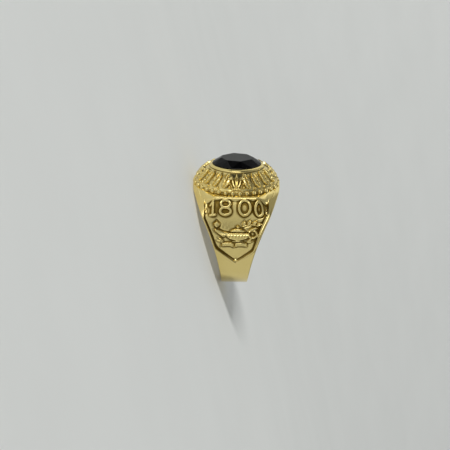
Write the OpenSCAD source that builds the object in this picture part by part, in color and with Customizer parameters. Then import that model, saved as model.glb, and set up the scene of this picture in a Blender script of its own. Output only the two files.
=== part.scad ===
// Man's signet-style class ring: one cast gold body and one faceted black stone.
// Everything is drawn about the centre of the finger hole, with X along the finger,
// Y across the hand and Z up through the stone. place() then lays the ring on its side,
// where it rests on one long edge of the head and one point of the shank.

/* [Finger hole] */
// Inside diameter of the finger hole
finger_d = 19.4; // [17.4:0.1:21.4]

/* [Shank] */
// Metal thickness at the bottom of the shank
shank_t = 1.6; // [1.3:0.1:2.2]
// Width of the shank at the bottom
shank_w = 5.4; // [5:0.1:6.4]
// Radius of the outer curve of each shoulder
shoulder_r = 15; // [14:0.5:17]
// Angle below the horizontal at which the shoulders leave the round shank
shoulder_a = 25; // [20:1:30]

/* [Head] */
// Width of the head along the finger
head_w = 18; // [17.8:0.1:18.6]
// Distance from the middle of the head out to its rounded corners
corner_reach = 10.3; // [10.1:0.1:10.7]
// Metal over the finger hole up to the head's border
deck_t = 0.85; // [0.75:0.05:1.1]
// Height from the border of the head up to the stone's lip
dome_h = 4.25; // [3.95:0.1:4.65]
// Distance from the stone's edge out to the border's edge
dome_w = 3.95; // [3.8:0.05:4]
// Width of the plain lip round the stone
lip_w = 0.9; // [0.7:0.05:1.1]

/* [Shoulder panels] */
// Depth of the sunk panel on each shoulder
panel_d = 0.45; // [0.3:0.05:0.6]
// Width of the raised rim beside each panel
panel_rim = 0.6; // [0.5:0.05:0.8]
// Height of the tip of the panel's V over the middle of the hole
panel_tip = -2.7; // [-3.2:0.1:-2.2]
// Height of the ends of the panel's V
panel_arm = 0; // [-0.5:0.1:0.5]

/* [Stone] */
// Length of the stone along the finger
stone_l = 10; // [9.8:0.1:10.2]
// Width of the stone across the finger
stone_w = 8; // [7.6:0.1:8.4]
// Height of the crown over the girdle
crown_h = 1.1; // [0.8:0.1:1.3]
// Height of the girdle
girdle_h = 0.4; // [0.3:0.05:0.6]
// Depth of the pavilion under the girdle
pavilion_h = 1.6; // [1.2:0.1:2]
// Length of the table as a share of the stone
table_share = 0.66; // [0.55:0.01:0.75]
// Gap between the stone and its seat
seat_gap = 0.06; // [0.04:0.01:0.1]

/* [Hidden] */
$fn = 96;

hole_r = finger_d / 2;
shank_r = hole_r + shank_t;
deck_z = hole_r + deck_t;          // top of the body, where the head's border sits
lip_z = deck_z + dome_h;           // top of the girdle
flare_z = -11;                     // where the side faces start to flare
far = 40;                          // longer than anything on the ring

// Each side face is one arc, tangent to the shank's flat side at flare_z
flare_dx = (head_w - shank_w) / 2;
flare_dz = deck_z - flare_z;
flare_r = (flare_dz * flare_dz + flare_dx * flare_dx) / (2 * flare_dx);
flare_x = shank_w / 2 + flare_r;

// The stone's outline is an oval of four arcs that meet tangent:
// two end arcs about (+-end_x, 0) and two side arcs about (0, -+side_y)
end_r = 0.75 * stone_w / 2;
end_x = stone_l / 2 - end_r;
side_r = (end_x * end_x + pow(stone_w / 2, 2) - end_r * end_r) / (stone_w - 2 * end_r);
side_y = side_r - stone_w / 2;
joint_a = atan2(side_y, end_x);

// A point of that oval, d outside it, where its outward direction is at angle a
function oval(a, d) =
    let (t = a < 0 ? a + 360 : a % 360)
    t <= joint_a || t >= 360 - joint_a ? [end_x + (end_r + d) * cos(t), (end_r + d) * sin(t)]
    : t < 180 - joint_a ? [(side_r + d) * cos(t), (side_r + d) * sin(t) - side_y]
    : t <= 180 + joint_a ? [(end_r + d) * cos(t) - end_x, (end_r + d) * sin(t)]
    : [(side_r + d) * cos(t), (side_r + d) * sin(t) + side_y];

// A slice of a turned shape between two angles
module slice(from, to) rotate([0, 0, from]) rotate_extrude(angle = to - from) children();

// The solid whose outline is the oval, drawn out by rows of [distance outside it, height]
module oval_solid(rows) {
    foot = rows[0][1];
    top = rows[len(rows) - 1][1];
    for (s = [0, 180]) {
        rotate([0, 0, s]) translate([end_x, 0, 0]) slice(-joint_a, joint_a)
            polygon([[0, foot], for (r = rows) [end_r + r[0], r[1]], [0, top]]);
        rotate([0, 0, s]) translate([0, -side_y, 0]) slice(joint_a, 180 - joint_a)
            polygon([[0, foot], for (r = rows) [side_r + r[0], r[1]], [0, top]]);
    }
}

// The ring's outline across the hand, let in by "inset" and drawn out along the finger:
// round below, then a wider arc up each shoulder that leaves the round shank tangent
shank_steps = 34;
shoulder_steps = 22;
module hoop(inset) {
    cy = (shoulder_r - shank_r) * cos(shoulder_a);
    cz = (shoulder_r - shank_r) * sin(shoulder_a);
    crest_a = 58;
    round = [for (i = [0:shank_steps / 2]) let (t = -90 + (90 - shoulder_a) * 2 * i / shank_steps)
        (shank_r - inset) * [cos(t), sin(t)]];
    shoulder = [for (i = [1:shoulder_steps]) let (t = -shoulder_a + (crest_a + shoulder_a) * i / shoulder_steps)
        (shoulder_r - inset) * [cos(t), sin(t)] + [-cy, cz]];
    rotate([90, 0, 90]) translate([0, 0, -far / 2]) linear_extrude(height = far)
        polygon(both(concat(round, shoulder)));
}

// An outline that is the same on both sides, from its right-hand points, listed upwards
function both(pts) = concat(pts, [for (i = [len(pts) - 1:-1:0]) if (abs(pts[i][0]) > 0.001) [-pts[i][0], pts[i][1]]]);

// Half the ring's width along the finger at a height: straight below flare_z, then one arc
function half_w(z) = z <= flare_z ? shank_w / 2 : flare_x - sqrt(flare_r * flare_r - pow(z - flare_z, 2));
flare_steps = 14;
function flare(from, to, inset) = [for (i = [0:flare_steps]) let (z = from + (to - from) * i / flare_steps)
    [half_w(z) - inset, z]];

// The ring's outline seen along Y, as a block
module front_block()
    rotate([90, 0, 0]) translate([0, 0, -far / 2]) linear_extrude(height = far)
        polygon(both(concat([[shank_w / 2, -far / 2]], flare(flare_z, deck_z, 0))));

// Everything but the four corners of the head, which a ball rounds off, let in by "inset"
module corner_ball(inset) {
    union() {
        sphere(r = sqrt(pow(corner_reach, 2) + pow(deck_z, 2)) - inset);
        translate([-far / 2, -far / 2, deck_z / 2 - far]) cube(far);
    }
}

// What a sunk panel takes out of the shoulder that faces -Y: flared sides and a V at the bottom
module panel()
    difference() {
        intersection() {
            corner_ball(panel_rim);
            translate([0, -hole_r + 3, 0]) rotate([90, 0, 0]) linear_extrude(height = 8)
                polygon(concat([[0, panel_tip]], both(flare(panel_arm, deck_z - 0.35, panel_rim))));
        }
        hoop(panel_d);
    }

// Shank, shoulders, domed head, border and lip are one casting
module cast_metal() {
    // rows of [distance outside the stone, height over the border], from the foot to the lip:
    // border, then the domed band, then the plain lip
    dome = [
        [dome_w - 0.3, -0.5],
        [dome_w, 0],
        [dome_w, 0.4],
        [dome_w - 0.35, 0.6],
        [dome_w - 0.5, 1.1],
        [dome_w - 0.75, 1.6],
        [dome_w - 1.1, 2.15],
        [dome_w - 1.65, 2.7],
        [lip_w, 3.6],
        [0.4, 4.1],
        [0.2, 4.25]];
    // rows of [distance outside the stone, height under the lip] of the stone's seat
    seat = [
        [seat_gap, 0],
        [seat_gap, girdle_h + seat_gap],
        [-2.4, girdle_h + pavilion_h + seat_gap]];
    difference() {
        union() {
            difference() {
                intersection() {
                    hoop(0);
                    front_block();
                    corner_ball(0);
                }
                panel();
                mirror([0, 1, 0]) panel();
            }
            oval_solid(concat(
                [for (r = dome) [r[0], deck_z + r[1] * dome_h / 4.25]],
                [for (r = seat) [r[0], lip_z - r[1]]]));
        }
        rotate([0, 90, 0]) cylinder(r = hole_r, h = far, center = true);
    }
}

// Faceted stone: an eight-sided table, 24 crown facets, a straight girdle and a plain pavilion
module cut_stone() {
    n = 16;
    a = [for (i = [0:n - 1]) (i + 0.5) * 360 / n];
    crown = [for (t = a) [each oval(t, 0), lip_z]];
    girdle = [for (t = a) [each oval(t, 0), lip_z - girdle_h]];
    culet = [for (t = a) [each oval(t, -2.4), lip_z - girdle_h - pavilion_h]];
    table = [for (i = [0:n / 2 - 1]) let (p = oval(a[2 * i], 0))
        [p[0] * table_share, p[1] * table_share, lip_z + crown_h]];
    // places of the four rings in the list of points
    g = n;
    c = 2 * n;
    t = 3 * n;
    polyhedron(
        points = concat(crown, girdle, culet, table),
        faces = concat(
            [[for (i = [n / 2 - 1:-1:0]) t + i]],
            [for (j = [0:n / 2 - 1]) [t + j, 2 * j, (2 * j + n - 1) % n]],
            [for (j = [0:n / 2 - 1]) [t + j, 2 * j + 1, 2 * j]],
            [for (j = [0:n / 2 - 1]) [t + j, t + (j + 1) % (n / 2), 2 * j + 1]],
            [for (i = [0:n - 1]) let (k = (i + 1) % n) [i, k, g + k, g + i]],
            [for (i = [0:n - 1]) let (k = (i + 1) % n) [g + i, g + k, c + k, c + i]],
            [[for (i = [0:n - 1]) c + i]]));
}

// Lying on its side: the flat it rests on runs from the head's long edge to the shank's edge
rest_a = atan2((head_w - shank_w) / 2, deck_z + shank_r);
low = head_w / 2 * cos(rest_a) - deck_z * sin(rest_a);
tip_x = (lip_z + crown_h) * cos(rest_a) + stone_l / 2 * table_share * sin(rest_a);
foot_x = shank_r * cos(rest_a) + shank_w / 2 * sin(rest_a);
module place() translate([(tip_x - foot_x) / 2, 0, low]) rotate([0, rest_a - 90, 0]) children();

module ring_body() color([0.86, 0.70, 0.32]) place() cast_metal();
module stone() color([0.05, 0.05, 0.06]) place() cut_stone();

ring_body();
stone();
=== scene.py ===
"""Looks of the onyx ring: a polished cast gold body with relief, and a faceted black stone.

Shapes are worked out in millimetres about the centre of the finger hole, with x along the
finger, y across the hand and z up through the stone, and then laid on their side as the
frame's parts are.
"""
import math

import bpy
import numpy as np
from mathutils import Matrix, Vector


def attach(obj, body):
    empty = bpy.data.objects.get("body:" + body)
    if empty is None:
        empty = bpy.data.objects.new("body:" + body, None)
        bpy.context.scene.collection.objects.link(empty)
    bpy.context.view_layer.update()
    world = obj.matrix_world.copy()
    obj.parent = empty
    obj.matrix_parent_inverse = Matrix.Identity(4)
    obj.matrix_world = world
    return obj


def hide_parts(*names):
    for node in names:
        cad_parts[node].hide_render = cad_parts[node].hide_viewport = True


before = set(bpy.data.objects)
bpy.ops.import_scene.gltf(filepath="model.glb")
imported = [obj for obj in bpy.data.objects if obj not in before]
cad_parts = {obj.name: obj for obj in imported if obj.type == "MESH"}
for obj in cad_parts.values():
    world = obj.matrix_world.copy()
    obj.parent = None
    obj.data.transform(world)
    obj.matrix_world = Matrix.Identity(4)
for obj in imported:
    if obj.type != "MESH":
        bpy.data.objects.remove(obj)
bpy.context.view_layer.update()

# ---------------------------------------------------------------- sizes, as in the part
HOLE_R = 9.7
SHANK_R = 11.3
SHOULDER_R = 15.0
SHOULDER_A = math.radians(25)
SHANK_W = 5.4
HEAD_W = 18.0
DECK_Z = 10.55
LIP_Z = 14.8
FLARE_Z = -11.0
CORNER_REACH = 10.05
CORNER_FALL = 0.9       # how far the deck falls away at the head's corners
INSET = 0.12            # the plain curve of the shoulders lies this far inside the part's
PANEL_D = 0.55
PANEL_RIM = 0.6
PANEL_TIP = -2.95
PANEL_ARM = 0.0
PANEL_TOP = DECK_Z - 0.35
STONE_A, STONE_B = 5.0, 4.0
CROWN_H, GIRDLE_H, PAVILION_H = 1.1, 0.4, 1.6
TABLE_SHARE = 0.66

FLARE_DX = (HEAD_W - SHANK_W) / 2
FLARE_DZ = DECK_Z - FLARE_Z
FLARE_R = (FLARE_DZ ** 2 + FLARE_DX ** 2) / (2 * FLARE_DX)
REST_A = math.atan2((HEAD_W - SHANK_W) / 2, DECK_Z + SHANK_R)
LOW = HEAD_W / 2 * math.cos(REST_A) - DECK_Z * math.sin(REST_A)
TIP_X = (LIP_Z + CROWN_H) * math.cos(REST_A) + STONE_A * TABLE_SHARE * math.sin(REST_A)
FOOT_X = SHANK_R * math.cos(REST_A) + SHANK_W / 2 * math.sin(REST_A)
SHIFT_X = (TIP_X - FOOT_X) / 2

# the oval's four arcs
END_R = 0.75 * STONE_B
END_X = STONE_A - END_R
SIDE_R = (END_X ** 2 + STONE_B ** 2 - END_R ** 2) / (2 * (STONE_B - END_R))
SIDE_Y = SIDE_R - STONE_B
JOINT_A = math.atan2(SIDE_Y, END_X)


def lay(p):
    """Ring-local millimetres to the row frame in metres."""
    s, c = math.sin(REST_A), math.cos(REST_A)
    x, y, z = p[..., 0], p[..., 1], p[..., 2]
    return np.stack([x * s - z * c + SHIFT_X, y, x * c + z * s + LOW], -1) * 0.001


def lay_dir(v):
    s, c = math.sin(REST_A), math.cos(REST_A)
    return Vector((v[0] * s - v[2] * c, v[1], v[0] * c + v[2] * s))


# ---------------------------------------------------------------- small helpers
def step(a, b, x):
    t = np.clip((x - a) / (b - a), 0, 1)
    return t * t * (3 - 2 * t)


def smax(a, b, k):
    """The larger of two fields, with the corner between them rounded over k."""
    h = np.clip(0.5 + 0.5 * (a - b) / k, 0, 1)
    return b + (a - b) * h + k * h * (1 - h)


def smin(a, b, k):
    return -smax(-a, -b, k)


def to_line(u, v, pts):
    """Distance from each point (u, v) to a chain of straight pieces."""
    best = np.full(np.shape(u), 1e9)
    for (ax, ay), (bx, by) in zip(pts[:-1], pts[1:]):
        dx, dy = bx - ax, by - ay
        t = np.clip(((u - ax) * dx + (v - ay) * dy) / max(dx * dx + dy * dy, 1e-12), 0, 1)
        best = np.minimum(best, (u - ax - t * dx) ** 2 + (v - ay - t * dy) ** 2)
    return np.sqrt(best)


def in_shape(u, v, pts):
    """Distance inside a closed outline, negative outside."""
    inside = np.zeros(np.shape(u), bool)
    ring = list(pts) + [pts[0]]
    for (ax, ay), (bx, by) in zip(ring[:-1], ring[1:]):
        if ay == by:
            continue
        cross = ((ay > v) != (by > v)) & (u < (bx - ax) * (v - ay) / (by - ay) + ax)
        inside ^= cross
    d = to_line(u, v, ring)
    return np.where(inside, d, -d)


def dome(d, r, h):
    """A pillow of height h whose side rises over r, from the distance inside its outline."""
    t = np.clip(d / r, 0, 1)
    return h * t * (2 - t)


def arc(cx, cy, rx, ry, a0, a1, n=22):
    return [(cx + rx * math.cos(math.radians(a0 + (a1 - a0) * i / n)),
             cy + ry * math.sin(math.radians(a0 + (a1 - a0) * i / n))) for i in range(n + 1)]


def turned(pts, cx, cy, a):
    s, c = math.sin(a), math.cos(a)
    return [(cx + x * c - y * s, cy + x * s + y * c) for x, y in pts]


def blur(h, n):
    """A soft copy of a grid of heights."""
    for axis in (0, 1):
        for _ in range(3):
            pad = [(n, n) if a == axis else (0, 0) for a in (0, 1)]
            q = np.cumsum(np.pad(h, pad, mode="edge"), axis=axis)
            q = np.concatenate([np.zeros_like(np.take(q, [0], axis)), q], axis)
            m = h.shape[axis]
            h = (np.take(q, range(2 * n + 1, 2 * n + 1 + m), axis) - np.take(q, range(0, m), axis)) / (2 * n + 1)
    return h


def half_w(z):
    z = np.asarray(z, float)
    t = np.clip(z - FLARE_Z, 0, FLARE_DZ)
    return SHANK_W / 2 + FLARE_R - np.sqrt(FLARE_R ** 2 - t ** 2)


def oval(t, d):
    """Points of the oval, d outside the stone's outline, where the outward direction is t (radians)."""
    t = np.asarray(t, float)
    a = np.mod(t, 2 * math.pi)
    side_up = (a > JOINT_A) & (a < math.pi - JOINT_A)
    side_dn = (a > math.pi + JOINT_A) & (a < 2 * math.pi - JOINT_A)
    left = (a >= math.pi - JOINT_A) & (a <= math.pi + JOINT_A)
    cx = np.where(side_up | side_dn, 0.0, np.where(left, -END_X, END_X))
    cy = np.where(side_up, -SIDE_Y, np.where(side_dn, SIDE_Y, 0.0))
    r = np.where(side_up | side_dn, SIDE_R, END_R) + d
    return cx + r * np.cos(t), cy + r * np.sin(t)


def mesh_object(name, verts, faces, attrs=(), smooth=True):
    me = bpy.data.meshes.new(name)
    me.vertices.add(len(verts))
    me.vertices.foreach_set("co", np.ascontiguousarray(verts, np.float32).ravel())
    sizes = np.array([len(f) for f in faces]) if not isinstance(faces, np.ndarray) else np.full(len(faces), faces.shape[1])
    flat = np.concatenate([np.asarray(f) for f in faces]) if not isinstance(faces, np.ndarray) else faces.ravel()
    me.loops.add(len(flat))
    me.loops.foreach_set("vertex_index", flat.astype(np.int32))
    me.polygons.add(len(sizes))
    starts = np.concatenate([[0], np.cumsum(sizes)[:-1]])
    me.polygons.foreach_set("loop_start", starts.astype(np.int32))
    me.polygons.foreach_set("use_smooth", np.full(len(sizes), smooth, bool))
    for key, values in attrs:
        at = me.attributes.new(key, "FLOAT", "POINT")
        at.data.foreach_set("value", np.ascontiguousarray(values, np.float32).ravel())
    me.update(calc_edges=True)
    me.validate()
    ob = bpy.data.objects.new(name, me)
    bpy.context.scene.collection.objects.link(ob)
    return ob


def grid_faces(rows, cols, close_rows, close_cols, flip=False):
    r = np.arange(rows if close_rows else rows - 1)
    c = np.arange(cols if close_cols else cols - 1)
    rr, cc = np.meshgrid(r, c, indexing="ij")
    r2, c2 = (rr + 1) % rows, (cc + 1) % cols
    q = np.stack([rr * cols + cc, rr * cols + c2, r2 * cols + c2, r2 * cols + cc], -1).reshape(-1, 4)
    return q[:, ::-1].copy() if flip else q


# ---------------------------------------------------------------- relief of the shoulder panels
def digit_lines(ch):
    """Strokes of a numeral in a box 1 high, about its own middle, with serifs."""
    if ch == "1":
        return [[(-0.2, 0.28), (0.0, 0.5), (0.0, -0.5)], [(-0.17, -0.5), (0.17, -0.5)]]
    if ch == "8":
        return [arc(0, 0.25, 0.265, 0.25, 0, 360, 28), arc(0, -0.25, 0.31, 0.25, 0, 360, 28)]
    if ch == "0":
        return [arc(0, 0, 0.30, 0.5, 0, 360, 40)]
    return []


def numerals(x, q):
    """Height of the raised numerals. q is the distance up the panel, zero at its top."""
    out = np.zeros(np.shape(x))
    tall = 3.0
    mid = -0.3 - tall / 2
    for ch, cx, wide in (("1", -4.75, 1.05), ("8", -2.15, 1.15), ("0", 1.72, 1.25), ("0", 4.72, 0.95)):
        for line in digit_lines(ch):
            pts = [(cx + px * tall * wide, mid + py * tall) for px, py in line]
            d = to_line(x, q, pts)
            # a rounded stroke with steep sides, and a narrow groove round its foot
            out = np.maximum(out, 0.56 * step(0.39, 0.19, d))
            out = np.where(out > 0.01, out, out - 0.12 * np.exp(-((d - 0.5) / 0.13) ** 2))
    # a slim leaf stands at each end of the row
    for cx, lean, long, wide in ((-6.18, 96, 1.8, 0.5), (6.12, 75, 2.0, 0.58)):
        a = math.radians(lean)
        leaf = turned([(0, 0), (0.25 * long, 0.5 * wide), (0.6 * long, 0.46 * wide), (long, 0),
                       (0.6 * long, -0.46 * wide), (0.25 * long, -0.5 * wide)], cx, -2.95, a)
        d = in_shape(x, q, leaf)
        rib = to_line(x, q, turned([(0.1 * long, 0), (0.8 * long, 0)], cx, -2.95, a))
        g = 0.34 * step(0, 0.13, d) + 0.06 * dome(d, 0.3, 1.0) - 0.12 * step(0.11, 0.03, rib) * (d > 0)
        out = np.where(d > 0, np.maximum(out, g), out)
    return out


def lamp(x, q):
    """Height of the emblem: an oil lamp on an open book, between two sprays of leaves.
    x and q are in millimetres about its own middle."""
    h = np.zeros(np.shape(x))
    gap = np.full(np.shape(x), -9.0)

    def add(d, top, side=0.17, crown=0.12, over=0.7):
        """A raised shape with steep sides and a gently crowned face."""
        nonlocal h, gap
        g = (top - crown) * step(0, side, d) + crown * dome(d, over, 1.0)
        h = np.where(d > 0, np.maximum(g, np.where(h > 0.1, h - 0.12, 0)), h)
        gap = np.maximum(gap, d)

    def leaf(cx, cq, a, long, wide, top=0.34):
        shape = turned([(0, 0), (0.22 * long, 0.5 * wide), (0.55 * long, 0.48 * wide), (long, 0),
                        (0.55 * long, -0.48 * wide), (0.22 * long, -0.5 * wide)], cx, cq, math.radians(a))
        d = in_shape(x, q, shape)
        add(d, top, 0.13, 0.05, 0.3)
        nonlocal h
        rib = to_line(x, q, turned([(0.1 * long, 0), (0.8 * long, 0)], cx, cq, math.radians(a)))
        h = h - 0.1 * step(0.1, 0.02, rib) * (d > 0)

    # spray over the lamp's handle
    twig = [(1.5, 1.8), (2.5, 2.15), (3.5, 2.2), (4.3, 1.95)]
    add(0.15 - to_line(x, q, twig), 0.3, 0.1, 0.0)
    for cx, cq, a in ((1.6, 1.85, 78), (2.4, 2.15, 62), (3.25, 2.25, 44), (4.0, 2.1, 20)):
        leaf(cx, cq, a, 1.25, 0.74, 0.4)
    # small sprays beside the book
    for cx, cq, a in ((-1.9, -1.75, 168), (-2.0, -1.7, 136), (2.2, -1.75, 12), (2.3, -1.7, 44)):
        leaf(cx, cq, a, 1.35, 0.6)
    # open book
    for m in (-1, 1):
        page = [(0.07 * m, -2.0), (0.6 * m, -1.8), (1.3 * m, -1.78), (2.3 * m, -2.0), (2.45 * m, -2.85),
                (1.35 * m, -2.72), (0.6 * m, -2.78), (0.07 * m, -3.05)]
        d = in_shape(x, q, page)
        add(d, 0.42, 0.15, 0.08, 0.5)
        for k in (-2.15, -2.42):
            line = to_line(x, q, [(0.5 * m, k + 0.08), (1.3 * m, k + 0.1), (2.1 * m, k - 0.06)])
            h = h - 0.09 * step(0.1, 0.03, line)
    # handle: a loop at the right with a thumb rest
    add(0.29 - to_line(x, q, arc(3.3, 0.15, 0.78, 0.85, -140, 140, 26)), 0.46, 0.15, 0.05)
    add(in_shape(x, q, [(2.3, 0.75), (2.9, 1.35), (3.7, 1.75), (4.5, 1.6), (4.0, 1.15), (3.1, 0.75)]), 0.5, 0.16, 0.08)
    # bowl, with the spout rising to the left
    body_ = [(-0.9, 0.42), (-2.0, 0.62), (-2.8, 1.05), (-3.5, 1.3), (-3.85, 1.0), (-3.6, 0.55), (-2.9, -0.1), (-2.0, -0.75)]
    body_ += arc(0.6, 0.1, 2.3, 1.5, 200, 360, 22) + [(2.7, 0.42)]
    d = in_shape(x, q, body_)
    add(d, 0.52, 0.2, 0.14, 1.2)
    for k, deep in ((-0.05, 0.12), (-0.75, 0.12)):
        ring = np.abs(q - k - 0.07 * ((x - 0.6) / 1.6) ** 2)
        h = h - deep * step(0.13, 0.03, ring) * (d > 0.25)
    # flutes between the two rings
    flute = np.abs(np.mod(x - 0.6, 0.56) - 0.28)
    h = h - 0.08 * step(0.14, 0.03, flute) * (d > 0.2) * step(-0.72, -0.62, q) * step(-0.1, -0.2, q) * (x > -2.2)
    # lid and knob
    add(in_shape(x, q, arc(0.6, 0.5, 1.45, 0.85, 0, 180, 22)), 0.54, 0.18, 0.12, 0.6)
    h = h - 0.14 * step(0.14, 0.04, np.abs(q - 0.46)) * (np.abs(x - 0.6) < 1.9)
    add(0.36 - np.hypot(x - 0.6, q - 1.6), 0.52, 0.2, 0.14, 0.36)
    # foot
    add(in_shape(x, q, [(0.0, -1.2), (1.2, -1.2), (1.05, -1.42), (1.75, -1.72), (-0.55, -1.72), (0.15, -1.42)]), 0.48, 0.13, 0.04)
    # flame, a curl that leans back
    flame = [(-3.45, 1.45), (-3.85, 1.85), (-3.9, 2.4), (-3.45, 2.8), (-3.3, 3.1), (-3.0, 2.7), (-2.65, 2.35), (-2.75, 1.8), (-3.1, 1.45)]
    add(in_shape(x, q, flame), 0.5, 0.18, 0.14, 0.45)
    # a groove round the whole design
    h = h - 0.10 * np.exp(-((gap + 0.14) / 0.11) ** 2)
    return h


# the shoulder's arc length runs up from the height where the shank ends
CY = (SHOULDER_R - SHANK_R) * math.cos(SHOULDER_A)
CZ = (SHOULDER_R - SHANK_R) * math.sin(SHOULDER_A)


def q_of(z):
    """Distance up the shoulder's surface, zero at the top of the panel."""
    ang = lambda v: np.arcsin(np.clip((np.asarray(v, float) - CZ) / SHOULDER_R, -1, 1))
    return SHOULDER_R * (ang(z) - ang(PANEL_TOP))


def panel_relief(x, z):
    """Height of the shoulder's surface over its plain curve, at x and at height z, and how much painted
    shade the foot of the panel's wall gets there, stronger on the left wall than on the right."""
    q = q_of(z)
    edge = half_w(z) - np.abs(x)
    # the panel sits a little to the left, so that its right rim is the wider one, and both walls turn
    # inwards before the head's rounded corners
    side = np.where(x > 0, 0.55 + 0.4 * step(0.5, 5.5, z), 0.34 + 0.85 * step(6.6, 9.4, z)) - edge
    reach = float(half_w(PANEL_ARM)) - PANEL_RIM
    rise = float(q_of(PANEL_ARM) - q_of(PANEL_TIP))
    slope = math.hypot(reach, rise)
    vee = (np.abs(x - 0.15) * rise - (q - float(q_of(PANEL_TIP))) * reach) / slope
    out = smax(side, vee, 0.3)
    sink = step(0.04, -0.16, out)
    # it grows shallow towards the tip of the V and the head's foot, and leaves the head's corners plain
    middle = step(6.6, 5.4, np.abs(x))
    shallow = (1 - (1 - 0.3 * middle) * step(9.75, 10.4, z)) * (0.62 + 0.38 * step(-2.5, 1.8, z))
    shallow = shallow * (1 - 0.5 * step(6.0, 6.7, -x) * step(7.8, 9.0, z))
    h = -PANEL_D * sink * shallow
    # a low bead follows the arms of the V, a sharp ridge runs up the wide rim, which lies a little
    # lower outside it, and a fine groove runs along the foot of the wall
    arms = step(-0.7, 0.0, vee)
    h = h + 0.07 * np.exp(-((out - 0.17) / 0.12) ** 2) * step(0.8, 0.1, vee) * arms
    ridge = (0.08 - np.clip(0.66 - edge, 0, 0.24) * (1 - 0.5 * step(6.5, 9.0, z))) * step(-0.03, 0.05, out) * (x > 0)
    h = h + ridge * (1 - arms) * step(10.4, 8.6, z)
    h = h - 0.06 * np.exp(-((out + 0.27) / 0.09) ** 2)
    h = h + sink * numerals(x, q) * shallow ** 0.5
    z_mid = float(q_of(3.05))
    h = h + 0.85 * sink * lamp((x + 0.2) / 1.1, (q - z_mid - 0.33) / 0.96)
    # a small bead in the tip of the V
    qt = float(q_of(PANEL_TIP)) + 0.42
    bead = dome(0.36 - np.hypot((x - 0.15) / 1.2, q - qt), 0.36, 0.42)
    h = np.where(bead > 0, np.maximum(h, bead - 0.62 * PANEL_D), h)
    # painted shade: the foot of the panel's walls is darkened in colour, stronger on the left wall, weaker on the right
    # and in between along the V's arms, as the light falls there
    dark = np.where(x > 0, 0.45, 0.2 + 0.7 * step(8.2, 7.2, z))
    wall = np.exp(-((out + 0.05) / 0.12) ** 2) * (dark + (0.62 - dark) * arms) * (bead <= 0.1)
    return h, wall


# ---------------------------------------------------------------- the body
def body_profile():
    """Half the hoop's outline from the bottom to the middle of the deck: y, z and the outward direction."""
    fillet = 0.9
    rows = []
    for t in np.linspace(-90, -25, 300):
        a = math.radians(t)
        r = SHANK_R - INSET * step(-90, -40, t)
        rows.append((r * math.cos(a), r * math.sin(a), math.cos(a), math.sin(a)))
    big = SHOULDER_R - INSET
    top = math.asin((DECK_Z - fillet - CZ) / (big - fillet))
    for a in np.linspace(-SHOULDER_A, top, 900)[1:]:
        rows.append((big * math.cos(a) - CY, big * math.sin(a) + CZ, math.cos(a), math.sin(a)))
    fy = (big - fillet) * math.cos(top) - CY
    for a in np.linspace(top, math.pi / 2, 40)[1:]:
        rows.append((fy + fillet * math.cos(a), DECK_Z - fillet + fillet * math.sin(a), math.cos(a), math.sin(a)))
    for y in np.linspace(fy, 0, 120)[1:]:
        rows.append((y, DECK_Z, 0.0, 1.0))
    return np.array(rows)


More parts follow.
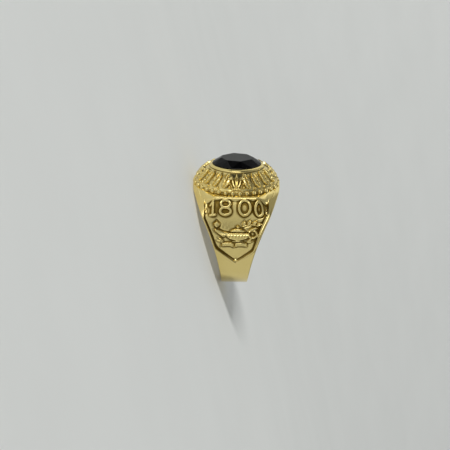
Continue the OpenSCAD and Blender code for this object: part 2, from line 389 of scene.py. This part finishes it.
def build_body(name, side):
    """The half of the hoop with y of the given sign, closed where the halves meet."""
    prof = body_profile()
    s = np.concatenate([[0], np.cumsum(np.hypot(*np.diff(prof[:, :2], axis=0).T))])

    def at(z_or_y, by):
        k = np.argmax(prof[:, 1] >= z_or_y) if by == "z" else len(prof) - 1 - np.argmax(prof[::-1, 0] >= z_or_y)
        return s[k]

    s_a, s_b = at(-3.1, "z"), at(DECK_Z - 0.5, "z")
    s_c = at(8.0, "y")
    marks = np.concatenate([
        np.arange(0, s_a, 0.36),
        np.arange(s_a, s_b, 0.075),
        np.linspace(s_b, s_c, 16),
        np.linspace(s_c, s[-1], 15)[1:]])
    rows = np.stack([np.interp(marks, s, prof[:, i]) for i in range(4)], -1)
    rows[:, 2:] /= np.linalg.norm(rows[:, 2:], axis=1)[:, None]
    rows = rows * [side, 1, side, 1]
    n = len(rows)
    y0, z0, ny, nz = (rows[:, i][:, None] for i in range(4))
    on_shoulder = z0 > -3.2

    rx, rn = 0.18, 0.2
    w_out = half_w(z0)
    inner = np.linspace(0, 1, 99)[None, :] * (w_out - 1.25)
    rim = (w_out - 1.25) + np.linspace(0, 1, 22)[None, 1:] * (1.25 - rx)
    x_flat = np.concatenate([inner, rim], 1)
    depth = np.zeros_like(x_flat)
    # rounded outer edge
    ph = np.linspace(0, math.pi / 2, 6)[None, 1:]
    d_edge = rn * (1 - np.cos(ph)) + 0 * y0
    x_edge = half_w(z0 - d_edge * nz) - rx * (1 - np.sin(ph))
    xs = np.concatenate([x_flat, x_edge], 1)
    ds = np.concatenate([depth, d_edge], 1)
    z_here = z0 - ds * nz
    flat_n = x_flat.shape[1]

    def outer(mirror):
        x = xs * mirror
        # the far shoulder is the near one turned half round
        rel, wall = panel_relief(-x * side, np.clip(z_here, -8, DECK_Z))
        fade = np.ones_like(x)
        fade[:, flat_n:] = np.cos(ph)
        h = np.where(on_shoulder, rel * fade, 0.0)
        y = y0 - ds * ny + h * ny
        z = z0 - ds * nz + h * nz
        plain = np.stack([x, y0 - ds * ny, z0 - ds * nz], -1)
        return np.stack([x, y, z], -1), plain, h, np.where(on_shoulder, wall * fade, 0.0)

    out_r, plain_r, h_r, wall_shade_r = outer(1.0)
    out_l, plain_l, h_l, wall_shade_l = outer(-1.0)

    # side faces, bore edges and bore, along the same radius
    th = np.arctan2(z0, y0)
    iy, iz = HOLE_R * np.cos(th), HOLE_R * np.sin(th)
    rb = 0.3
    oy, oz = y0 - rn * ny, z0 - rn * nz
    ty, tz = (HOLE_R + rb) * np.cos(th), (HOLE_R + rb) * np.sin(th)
    k = np.linspace(0, 1, 9)[None, 1:]
    sy, sz = oy + (ty - oy) * k, oz + (tz - oz) * k
    sx = half_w(sz)
    pb = np.linspace(0, math.pi / 2, 6)[None, 1:]
    br = HOLE_R + rb * (1 - np.sin(pb))
    by, bz = br * np.cos(th), br * np.sin(th)
    bx = half_w(bz) - rb * (1 - np.cos(pb))
    m = np.linspace(1, 0, 11)[None, 1:]
    mx = bx[:, -1:] * m
    my, mz = iy + 0 * m, iz + 0 * m
    inx = np.concatenate([sx, bx, mx], 1)
    iny = np.concatenate([sy, by, my], 1)
    inz = np.concatenate([sz, bz, mz], 1)
    inn_r = np.stack([inx, iny, inz], -1)
    inn_l = inn_r * [-1, 1, 1]

    loop = np.concatenate([out_r, inn_r, inn_l[:, ::-1][:, 1:], out_l[:, ::-1][:, :-1]], 1)
    plain = np.concatenate([plain_r, inn_r, inn_l[:, ::-1][:, 1:], plain_l[:, ::-1][:, :-1]], 1)
    zeros = np.zeros(inx.shape)
    hh = np.concatenate([h_r, zeros, zeros[:, 1:], h_l[:, ::-1][:, :-1]], 1)
    # the painted shade at the walls' foot, gathered round the loop as the heights are
    walls = np.concatenate([wall_shade_r, zeros, zeros[:, 1:], wall_shade_l[:, ::-1][:, :-1]], 1)

    # a ball rounds off the head's four corners, relief and all, and the deck falls away towards them
    height = plain[..., 2]
    ball = np.sqrt(np.clip(CORNER_REACH ** 2 + DECK_Z ** 2 - height ** 2, 1, None))
    far = np.hypot(plain[..., 0], plain[..., 1])
    near = smin(far, ball, 0.8)
    fix = np.where(height > 3, near / np.maximum(far, 1e-6), 1.0)
    fix = 1 - (1 - fix) * step(3, 6, height)
    loop[..., 0] *= fix
    loop[..., 1] *= fix
    x, y, z = loop[..., 0], loop[..., 1], loop[..., 2]
    turn = np.linspace(0, 2 * math.pi, 721)
    foot_x, foot_y = oval(turn, 3.6)
    foot = np.interp(np.arctan2(np.abs(y), np.abs(x)), np.arctan2(foot_y, foot_x)[:181], np.hypot(foot_x, foot_y)[:181])
    beyond = np.clip(np.hypot(x, y) - foot - 0.1, 0, 2.2)
    both = np.clip(np.abs(x) - 4.0, 0, 2.5) / 2.5 * np.clip(np.abs(y) - 0.6, 0, 2.4) / 2.4
    fall = CORNER_FALL * (beyond / 2.0) ** 1.5 * both * step(5.5, 10.0, z)
    loop[..., 2] -= fall
    loop[..., 0] -= 0.32 * fall * np.sign(x)       # so that it stays off the surface it lies on

    # painted shade and grime together: hollows in the relief, found from how far each point lies below its blurred
    # surroundings, and the foot of the panel walls are darkened in the gold's colour
    cavity_shade = np.clip((0.6 * blur(hh, 4) + 0.4 * blur(hh, 8) - hh) / 0.145, -1, 1.3)
    cavity_shade = np.maximum(cavity_shade, 1.15 * walls)
    cols = loop.shape[1]
    faces = [f for f in grid_faces(n, cols, False, True, flip=side < 0)]
    # the cut faces have their own corners, so that the shading isn't pulled round
    flat = np.concatenate([loop.reshape(-1, 3), loop[0], loop[-1]])
    first, last = n * cols + np.arange(cols), (n + 1) * cols + np.arange(cols)
    faces += [first, last[::-1]] if side > 0 else [first[::-1], last]
    cavity_shade = np.concatenate([cavity_shade.ravel(), np.zeros(2 * cols)])
    return mesh_object(name, lay(flat), faces, [("cavity_shade", cavity_shade)])


# ---------------------------------------------------------------- the head
def band_relief(u, v, quarter):
    """Height of the ornament of the head's band: a palmette in the middle of the front and the back, upright
    leaves that lean towards it with berries between them, and a rosette at each end.
    u runs from the middle of the front or the back towards an end, v up the band, 0 to 4."""
    h = np.zeros(np.shape(u))
    mid = 2.0

    def face(d, top=0.5, side=0.16):
        """A raised shape with steep sides and a nearly flat face."""
        return (top - 0.08) * step(0, side, d) + 0.08 * dome(d, 0.5, 1.0)

    half = [(0, -1.8), (0.42, -1.45), (0.7, -0.75), (0.78, 0.0), (0.68, 0.8), (0.4, 1.5), (0, 2.0)]
    leaf = half + [(-x, y) for x, y in half[-2:0:-1]]
    pitch, lean = 2.08, 0.24
    for i in range(4):
        cu = 2.0 + pitch * i
        near = np.abs(u - cu) < 1.9
        d = np.where(near, in_shape(u, v, turned(leaf, cu, mid, lean)), -1)
        # the face leans out towards its tip
        g = face(d, 0.52) * (1 + 0.12 * (v - mid) / 1.9)
        # midrib and side veins
        cut = step(0.19, 0.07, to_line(u, v, turned([(0, -1.9), (0, 1.2)], cu, mid, lean)))
        for k in (-0.9, 0.0):
            for side in (-1, 1):
                vein = to_line(u, v, turned([(0, k), (side * 0.8, k + 0.7)], cu, mid, lean))
                cut = np.maximum(cut, 0.5 * step(0.13, 0.04, vein))
        g = g - 0.34 * cut * step(0.05, 0.25, g)
        h = np.maximum(h, g)
        # a berry at the foot and the head of each gap
        for bu, bv in ((cu + pitch / 2 + 0.38, 0.42), (cu + pitch / 2 - 0.32, 3.3)):
            if i < 3:
                h = np.maximum(h, dome(0.31 - np.hypot(u - bu, v - bv), 0.3, 0.46))
    # palmette: a tall lobe, a curled lobe at each side and a bar across their feet
    lobe_ = [(0, 0.55), (0.3, 1.0), (0.4, 1.8), (0.3, 2.9), (0, 3.95), (-0.3, 2.9), (-0.4, 1.8), (-0.3, 1.0)]
    g = face(in_shape(u, v, lobe_), 0.54)
    g = g - 0.2 * step(0.12, 0.04, np.abs(u)) * step(0.05, 0.25, g) * step(3.2, 2.9, v)
    h = np.maximum(h, g)
    curl = [(0.3, 0.75), (0.62, 1.35), (0.78, 2.1), (1.0, 2.7), (1.3, 2.95)]
    h = np.maximum(h, face(0.25 - to_line(u, v, curl), 0.5))
    h = np.maximum(h, dome(0.32 - np.hypot(u - 1.22, v - 2.55), 0.3, 0.5))
    h = np.maximum(h, face(0.24 - to_line(u, v, [(0, 0.42), (0.75, 0.42)]), 0.46))
    h = np.maximum(h, dome(0.33 - np.hypot(u - 1.3, v - 0.75), 0.3, 0.46))
    h = np.maximum(h, dome(0.26 - np.hypot(u - 1.28, v - 1.5), 0.25, 0.4))
    # rosette
    ru = quarter - u
    mid = 1.75
    rr = np.hypot(ru, v - mid)
    an = np.arctan2(v - mid, ru)
    edge = 1.22 + 0.28 * np.cos(6 * an)
    petal = step(0.16, 0.04, rr * np.abs(np.sin(3 * (an - math.pi / 6))) / 3) * step(0.45, 0.6, rr)
    h = np.maximum(h, face(edge - rr, 0.5) - 0.22 * petal * step(0.0, 0.2, edge - rr) - 0.3 * step(0.5, 0.42, rr) * step(0.28, 0.36, rr))
    h = np.maximum(h, dome(0.34 - rr, 0.3, 0.52))
    return h


HEAD_ROWS = [
    # distance outside the stone, height
    (2.4, 9.7), (3.0, 9.78), (3.4, 9.95), (3.56, 10.15), (3.6, 10.4), (3.6, 10.7), (3.58, 11.0), (3.5, 11.16),
    (3.36, 11.22), (3.26, 11.32), (3.16, 11.5), (3.04, 11.75), (2.9, 12.0), (2.72, 12.27), (2.5, 12.54), (2.26, 12.8),
    (1.98, 13.05), (1.68, 13.3), (1.36, 13.56), (1.06, 13.8), (0.84, 13.96), (0.7, 14.06), (0.64, 14.15),
    (0.62, 14.24), (0.58, 14.33), (0.51, 14.4), (0.42, 14.46), (0.32, 14.52), (0.22, 14.57), (0.11, 14.6),
    (0.02, 14.59), (-0.04, 14.5),
]


def build_head():
    key = np.array(HEAD_ROWS)
    s = np.concatenate([[0], np.cumsum(np.hypot(*np.diff(key, axis=0).T))])
    fine = np.arange(0, s[-1], 0.01)
    d = np.interp(fine, s, key[:, 0])
    z = np.interp(fine, s, key[:, 1])
    kernel = np.hanning(13)
    kernel /= kernel.sum()
    d = np.convolve(np.pad(d, 6, mode="edge"), kernel, "valid")
    z = np.convolve(np.pad(z, 6, mode="edge"), kernel, "valid")

    def s_at(z_wanted):
        return fine[np.argmax(z >= z_wanted)]

    s_at_lip, s_at_foot = s_at(14.12), s_at(10.3)
    s0, s1, s2, s3, s_bead = s_at(10.2), s_at(11.24), s_at(14.03), fine[-1], s_at(10.74)
    marks = np.concatenate([np.linspace(0, s0, 6)[:-1], np.linspace(s0, s1, 22)[:-1],
                            np.linspace(s1, s2, 60)[:-1], np.linspace(s2, s3, 18)])
    d = np.interp(marks, fine, d)
    z = np.interp(marks, fine, z)
    td, tz = np.gradient(d, marks), np.gradient(z, marks)
    ln = np.hypot(td, tz)
    nd, nz = tz / ln, -td / ln                     # outward in the plane of d and z

    # stations evenly spaced round the oval at mid band
    t_fine = np.linspace(-math.pi / 2, 1.5 * math.pi, 7201)
    ox, oy = oval(t_fine, 2.3)
    run = np.concatenate([[0], np.cumsum(np.hypot(np.diff(ox), np.diff(oy)))])
    count = 900
    u_all = np.linspace(0, run[-1], count, endpoint=False)
    t = np.interp(u_all, run, t_fine)
    whole = run[-1]
    quarter = whole / 4
    u = np.mod(u_all, whole / 2)
    u = np.minimum(u, whole / 2 - u)

    vv = (marks - s1)[:, None]
    uu = u[None, :] + 0 * vv
    on_band = step(s1 - 0.02, s1 + 0.12, marks) * step(s2 + 0.03, s2 - 0.1, marks)
    scale = 4.0 / (s2 - s1)
    h = band_relief(uu, vv * scale + 0 * uu, quarter) * on_band[:, None]
    # border of beads in a shallow channel
    beads = 34
    pb = whole / beads
    bu = np.mod(u_all[None, :], pb) - pb / 2 + 0 * vv
    rr = np.hypot(bu * 1.19, (marks - s_bead)[:, None])
    h = h - 0.10 * np.exp(-((marks - s_bead) / 0.30) ** 2)[:, None]
    h = h + 0.44 * np.sqrt(np.clip(1 - (rr / 0.49) ** 2, 0, 1))
    px, py = oval(t[None, :], d[:, None] + h * nd[:, None])
    pz = z[:, None] + h * nz[:, None] + 0 * px
    pts = np.stack([px, py, pz], -1)
    # seat and foot, which close the head above and below
    seat = []
    for dd, zz in ((-0.03, 14.45), (0.03, LIP_Z - GIRDLE_H - 0.05), (-1.2, LIP_Z - 1.4), (-2.4, LIP_Z - 2.05)):
        sx, sy = oval(t, dd)
        seat.append(np.stack([sx, sy, np.full_like(sx, zz)], -1))
    pts = np.concatenate([pts, np.stack(seat)], 0)
    rows, cols = pts.shape[:2]
    flat = pts.reshape(-1, 3)
    flat = np.concatenate([flat, [[0, 0, LIP_Z - 2.05], [0, 0, 9.8]]])
    faces = [f for f in grid_faces(rows, cols, False, True)]
    last, a, b = (rows - 1) * cols, len(flat) - 2, len(flat) - 1
    for c in range(cols):
        c2 = (c + 1) % cols
        faces.append(np.array([last + c, last + c2, a]))
        faces.append(np.array([c2, c, b]))
    wide = np.concatenate([h[:, -40:], h, h[:, :40]], 1)
    # painted shade and grime together: the band relief's hollows darken the gold's colour
    cav_shade = np.clip((0.5 * blur(wide, 4) + 0.5 * blur(wide, 8) - wide)[:, 40:-40] / 0.19, -1, 1.3)
    # painted shade: a dark line in the step outside the lip too
    cav_shade = np.maximum(cav_shade, 1.1 * np.exp(-((marks - s_at_lip) / 0.12) ** 2)[:, None] - 2.0 * h)
    # painted shade along the head's foot, where it meets the deck
    cav_shade = np.maximum(cav_shade, 1.2 * np.exp(-((marks - s_at_foot) / 0.26) ** 2)[:, None])
    cav_shade = np.concatenate([cav_shade.ravel(), np.zeros(4 * cols + 2)])
    return mesh_object("gold_head", lay(flat), faces, [("cavity_shade", cav_shade)])


# ---------------------------------------------------------------- the stone
def build_stone():
    import bmesh
    n = 16
    a = [(i + 0.5) * 2 * math.pi / n for i in range(n)]
    ring = lambda d, z: [(*(float(v) for v in oval(t, d)), z) for t in a]
    crown = ring(0, LIP_Z)
    girdle = ring(0, LIP_Z - GIRDLE_H)
    culet = ring(-2.4, LIP_Z - GIRDLE_H - PAVILION_H)
    table = [(crown[2 * i][0] * TABLE_SHARE, crown[2 * i][1] * TABLE_SHARE, LIP_Z + CROWN_H) for i in range(n // 2)]
    pts = np.array(crown + girdle + culet + table)
    g, c, t = n, 2 * n, 3 * n
    faces = [[t + i for i in range(n // 2)]]
    faces += [[t + j, (2 * j + n - 1) % n, 2 * j] for j in range(n // 2)]
    faces += [[t + j, 2 * j, 2 * j + 1] for j in range(n // 2)]
    faces += [[t + j, 2 * j + 1, t + (j + 1) % (n // 2)] for j in range(n // 2)]
    faces += [[i, g + i, g + (i + 1) % n, (i + 1) % n] for i in range(n)]
    faces += [[g + i, c + i, c + (i + 1) % n, g + (i + 1) % n] for i in range(n)]
    faces += [[c + i for i in range(n - 1, -1, -1)]]
    ob = mesh_object("onyx_stone", lay(pts), faces, smooth=False)
    bm = bmesh.new()
    bm.from_mesh(ob.data)
    bmesh.ops.recalc_face_normals(bm, faces=bm.faces)
    bmesh.ops.bevel(bm, geom=list(bm.edges), offset=0.00003, segments=2, profile=0.5, affect="EDGES", clamp_overlap=True)
    bm.to_mesh(ob.data)
    bm.free()
    return ob


# ---------------------------------------------------------------- materials
def node_tree(name):
    mat = bpy.data.materials.new(name)
    mat.use_nodes = True
    nt = mat.node_tree
    nt.nodes.clear()
    out = nt.nodes.new("ShaderNodeOutputMaterial")
    bsdf = nt.nodes.new("ShaderNodeBsdfPrincipled")
    nt.links.new(bsdf.outputs[0], out.inputs[0])
    return mat, nt, bsdf


def noise(nt, coords, scale, detail=3.0, rough=0.5):
    n = nt.nodes.new("ShaderNodeTexNoise")
    n.inputs["Scale"].default_value = scale
    n.inputs["Detail"].default_value = detail
    n.inputs["Roughness"].default_value = rough
    nt.links.new(coords, n.inputs["Vector"])
    return n.outputs["Fac"]


def ramp(nt, fac, stops):
    r = nt.nodes.new("ShaderNodeValToRGB")
    while len(r.color_ramp.elements) < len(stops):
        r.color_ramp.elements.new(0.5)
    for e, (p, col) in zip(r.color_ramp.elements, stops):
        e.position = p
        e.color = (*col, 1) if len(col) == 3 else col
    nt.links.new(fac, r.inputs[0])
    return r.outputs[0]


def math_node(nt, op, a, b=None, c=None, clamp=False):
    m = nt.nodes.new("ShaderNodeMath")
    m.operation = op
    m.use_clamp = clamp
    for i, v in enumerate((a, b, c)):
        if v is None:
            continue
        if isinstance(v, (int, float)):
            m.inputs[i].default_value = v
        else:
            nt.links.new(v, m.inputs[i])
    return m.outputs[0]


def mix_color(nt, fac, a, b):
    m = nt.nodes.new("ShaderNodeMix")
    m.data_type = "RGBA"
    nt.links.new(fac, m.inputs[0])
    for i, v in ((6, a), (7, b)):
        if isinstance(v, tuple):
            m.inputs[i].default_value = (*v, 1)
        else:
            nt.links.new(v, m.inputs[i])
    return m.outputs[2]


def gold_material():
    mat, nt, bsdf = node_tree("polished_gold")
    coords = nt.nodes.new("ShaderNodeTexCoord").outputs["Object"]
    cav_shade = nt.nodes.new("ShaderNodeAttribute")
    cav_shade.attribute_name = "cavity_shade"
    cav_shade = cav_shade.outputs["Fac"]
    cloud = noise(nt, coords, 260.0, 4.0, 0.55)
    fine = noise(nt, coords, 2600.0, 3.0, 0.6)
    # grime and tarnish that the polish didn't reach, uneven, together with painted shade deep in the relief, in the
    # steps and at the foot of the panel walls
    deep = math_node(nt, "MULTIPLY_ADD", cloud, 0.8, -0.25)
    deep = math_node(nt, "ADD", cav_shade, deep)
    grime_and_shade = ramp(nt, deep, [(0.42, (0, 0, 0)), (1.0, (1, 1, 1))])
    gold = mix_color(nt, cloud, (0.924, 0.748, 0.308), (0.858, 0.682, 0.2585))
    # the dark brown laid over the gold here is grime and painted shade at once
    col = mix_color(nt, grime_and_shade, gold, (0.17, 0.108, 0.018))
    nt.links.new(col, bsdf.inputs["Base Color"])
    bsdf.inputs["Metallic"].default_value = 1.0
    # polish: glossy, hazier in the recesses and in faint smears
    rough = math_node(nt, "MULTIPLY_ADD", cloud, 0.10, 0.10)
    rough = math_node(nt, "MULTIPLY_ADD", grime_and_shade, 0.25, rough, clamp=True)
    nt.links.new(rough, bsdf.inputs["Roughness"])
    # casting waves, tumbling dents and fine scratches
    stretch = nt.nodes.new("ShaderNodeMapping")
    stretch.inputs["Scale"].default_value = (1, 9, 1)
    stretch.inputs["Rotation"].default_value = (0.3, 0.5, 0.9)
    nt.links.new(coords, stretch.inputs["Vector"])
    scratch = noise(nt, stretch.outputs[0], 1500.0, 2.0, 0.7)
    waves = noise(nt, coords, 700.0, 2.0, 0.5)
    total = math_node(nt, "MULTIPLY_ADD", waves, 1.0, math_node(nt, "MULTIPLY", fine, 0.22))
    total = math_node(nt, "MULTIPLY_ADD", scratch, 0.18, total)
    bump = nt.nodes.new("ShaderNodeBump")
    bump.inputs["Strength"].default_value = 0.35
    bump.inputs["Distance"].default_value = 0.00006
    nt.links.new(total, bump.inputs["Height"])
    nt.links.new(bump.outputs[0], bsdf.inputs["Normal"])
    return mat


def onyx_material():
    mat, nt, bsdf = node_tree("black_onyx")
    coords = nt.nodes.new("ShaderNodeTexCoord").outputs["Object"]
    cloud = noise(nt, coords, 180.0, 5.0, 0.6)
    col = ramp(nt, cloud, [(0.35, (0.0012, 0.0012, 0.0015)), (0.75, (0.0035, 0.0035, 0.0045))])
    nt.links.new(col, bsdf.inputs["Base Color"])
    bsdf.inputs["IOR"].default_value = 1.29
    fine = noise(nt, coords, 3200.0, 3.0, 0.6)
    rough = math_node(nt, "MULTIPLY_ADD", fine, 0.06, 0.02)
    nt.links.new(rough, bsdf.inputs["Roughness"])
    bump = nt.nodes.new("ShaderNodeBump")
    bump.inputs["Strength"].default_value = 0.05
    bump.inputs["Distance"].default_value = 0.00002
    nt.links.new(fine, bump.inputs["Height"])
    nt.links.new(bump.outputs[0], bsdf.inputs["Normal"])
    return mat


gold = gold_material()
onyx = onyx_material()

front = build_body("gold_front", -1)
back = build_body("gold_back", 1)
head = build_head()
stone = build_stone()
for ob in (front, back, head):
    ob.data.materials.append(gold)
    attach(ob, "root")
    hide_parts("ring_body")
stone.data.materials.append(onyx)
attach(stone, "root")
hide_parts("stone")
for node, mat in (("ring_body", gold), ("stone", onyx)):
    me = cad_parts[node].data
    me.materials.clear()
    me.materials.append(mat)


# ---------------------------------------------------------------- floor, light and camera
def floor_material():
    mat, nt, bsdf = node_tree("pale_floor")
    coords = nt.nodes.new("ShaderNodeTexCoord").outputs["Object"]
    f = noise(nt, coords, 30.0, 3.0, 0.5)
    col = ramp(nt, f, [(0.3, (0.62, 0.63, 0.615)), (0.7, (0.64, 0.65, 0.635))])
    nt.links.new(col, bsdf.inputs["Base Color"])
    bsdf.inputs["Roughness"].default_value = 0.6
    bsdf.inputs["Specular IOR Level"].default_value = 0.2
    # lit from below as a light table is, so that the floor stays pale and even
    bsdf.inputs["Emission Color"].default_value = (0.62, 0.63, 0.615, 1)
    bsdf.inputs["Emission Strength"].default_value = 0.12
    return mat


def build_stage():
    """A floor that sweeps up into a backdrop behind the ring."""
    start, radius = 0.12, 0.7
    prof = [(-1.5, 0.0), (start, 0.0)]
    for i in range(1, 25):
        a = math.pi / 2 * i / 24
        prof.append((start + radius * math.sin(a), radius - radius * math.cos(a)))
    prof.append((start + radius, 1.0))
    xs = (-1.5, 1.5)
    verts = [(x, y, z) for y, z in prof for x in xs]
    faces = [[2 * i, 2 * i + 1, 2 * i + 3, 2 * i + 2] for i in range(len(prof) - 1)]
    ob = mesh_object("studio_floor", np.array(verts), faces)
    ob.data.materials.append(floor_material())
    return ob


floor = build_stage()

# the camera looks at the near shoulder from in front, a little above it, as in the photograph
ELEV = math.radians(23.0)
AZ = math.radians(0.0)
ROLL = math.radians(1.2)
DIST = 0.250
LENS = 95.0
to_cam = lay_dir((math.sin(AZ) * math.cos(ELEV), -math.cos(AZ) * math.cos(ELEV), math.sin(ELEV)))
up_hint = lay_dir((0, 0, 1))
centre = Vector(lay(np.array([0.0, 0.0, 0.0])))
z_ax = to_cam.normalized()
x_ax = up_hint.cross(z_ax).normalized()
y_ax = z_ax.cross(x_ax)
rot = Matrix((x_ax, y_ax, z_ax)).transposed()
rot = rot @ Matrix.Rotation(ROLL, 3, "Z")
x_ax, y_ax = rot.col[0], rot.col[1]
px = DIST / LENS * 36.0 / 450.0                    # metres a pixel at the hole's distance
hole_at = (235.2, 228.3)                           # where the hole's centre falls in the picture
eye = centre + z_ax * DIST - x_ax * (hole_at[0] - 225) * px + y_ax * (hole_at[1] - 225) * px
cam_data = bpy.data.cameras.new("camera")
cam_data.lens = LENS
cam_data.sensor_width = 36.0
cam_data.clip_start = 0.005
cam = bpy.data.objects.new("camera", cam_data)
cam.matrix_world = Matrix.Translation(eye) @ rot.to_4x4()
bpy.context.scene.collection.objects.link(cam)
bpy.context.scene.camera = cam


def area(name, where, size, power, color=(1, 1, 1), target=None):
    data = bpy.data.lights.new(name, "AREA")
    data.shape = "RECTANGLE"
    data.size, data.size_y = size
    data.energy = power
    data.color = color
    ob = bpy.data.objects.new(name, data)
    target = target or centre
    ob.location = where
    ob.rotation_euler = (Vector(where) - target).to_track_quat("Z", "Y").to_euler()
    bpy.context.scene.collection.objects.link(ob)
    return ob


def local_point(x, y, z):
    """A point given in the photograph's sense: x right, y away, z up, in metres from the hole's centre."""
    return centre + lay_dir((x, y, z))


def toward(az, el):
    """A direction in the photograph's sense: az 0 towards the camera, 90 to the right, el up."""
    a, e = math.radians(az), math.radians(el)
    return math.sin(a) * math.cos(e), -math.cos(a) * math.cos(e), math.sin(e)


def panel_light(name, az, el, dist, size, radiance, color=(1, 1, 1)):
    """A soft box whose face has the given brightness."""
    power = radiance * math.pi * size[0] * size[1]
    return area(name, local_point(*(c * dist for c in toward(az, el))), size, power, color)


def lights_only(lamp_, name, *obs):
    only = bpy.data.collections.new(name)
    for ob in obs:
        only.objects.link(ob)
    lamp_.light_linking.receiver_collection = only


# two soft boxes close to the ring, kept off the floor
for soft in (panel_light("key", -4, 57, 0.45, (0.17, 0.20), 4.0), panel_light("rim", 88, -13, 0.6, (0.28, 0.46), 1.7)):
    lights_only(soft, soft.name + "_on_ring", front, back, head, stone)

# a lamp that lights only the floor, low from in front, and gives the ring its soft shadow there
down = Vector((-0.68, -0.26, 0.36)).normalized()
side = 0.55
lights_only(area("floor_lamp", centre + down * 3.0, (side, side), 90.0 * math.pi * side * side), "lamp_on_floor", floor)

# the room: dim, darker overhead, paler behind the ring
world = bpy.data.worlds.new("studio")
bpy.context.scene.world = world
world.use_nodes = True
wt = world.node_tree
bg = wt.nodes["Background"]
bg.inputs["Color"].default_value = (0.97, 1.0, 0.985, 1)
way = wt.nodes.new("ShaderNodeTexCoord").outputs["Generated"]


def lobe(az, el, wide, narrow, amount):
    """Adds amount to the room's light round a direction, fading out between two angles."""
    dot = wt.nodes.new("ShaderNodeVectorMath")
    dot.operation = "DOT_PRODUCT"
    wt.links.new(way, dot.inputs[0])
    dot.inputs[1].default_value = lay_dir(toward(az, el))
    fade = wt.nodes.new("ShaderNodeMapRange")
    fade.interpolation_type = "SMOOTHSTEP"
    fade.inputs["From Min"].default_value = math.cos(math.radians(wide))
    fade.inputs["From Max"].default_value = math.cos(math.radians(narrow))
    fade.inputs["To Max"].default_value = amount
    wt.links.new(dot.outputs["Value"], fade.inputs["Value"])
    return fade.outputs[0]


light = 0.30
for args in ((180, 50, 50, 15, 0.30), (0, 82, 44, 14, -0.285), (2, 36, 36, 10, 0.22)):
    light = math_node(wt, "ADD", lobe(*args), light)
wt.links.new(light, bg.inputs["Strength"])

bpy.context.scene.view_settings.view_transform = "Standard"
